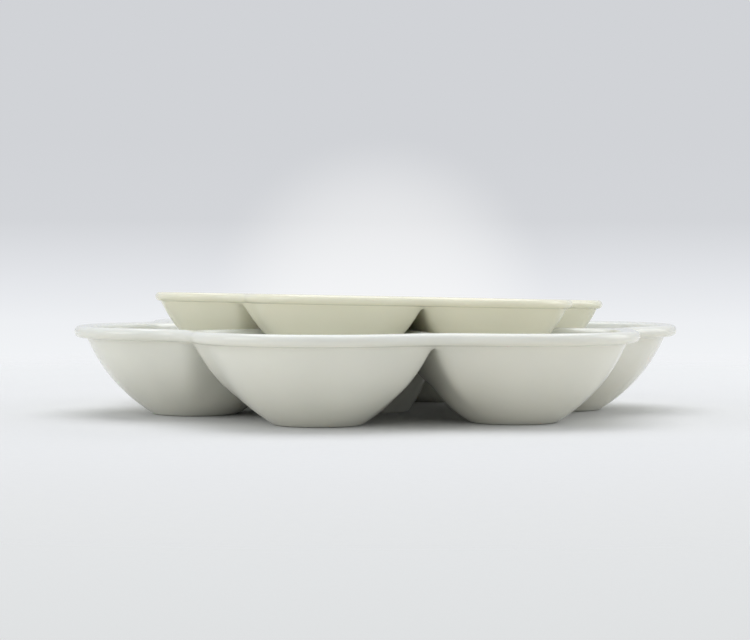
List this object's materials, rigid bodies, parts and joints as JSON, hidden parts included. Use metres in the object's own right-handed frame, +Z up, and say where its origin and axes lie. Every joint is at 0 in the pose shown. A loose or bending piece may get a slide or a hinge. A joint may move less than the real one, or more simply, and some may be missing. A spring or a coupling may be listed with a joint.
{
  "type": "nested flower mixing palettes",
  "caption": "Glazed porcelain mixing palettes shaped like plum blossoms, a small one nested in a large one, with petal wells round a middle well and a rolled rim.",
  "frame": {"origin": "on the table under the middle of the large palette", "axes": "+Z up, +X from the middle well along one petal of the large palette, so that petals point along +X and -X and notches along +Y and -Y"},
  "size_m": [0.182, 0.167, 0.036],
  "materials": {
    "large_glaze": "clear gloss glaze over white porcelain",
    "small_glaze": "clear gloss glaze over ivory porcelain"
  },
  "bodies": {
    "large_dish": {"large_palette": "large_glaze"},
    "small_dish": {"small_palette": "small_glaze"}
  },
  "joints": [
    {"name": "small_palette_lift", "type": "slide", "parent": "large_dish", "child": "small_dish", "axis": [0, 0, 1], "range_m": [0, 0.05]}
  ]
}
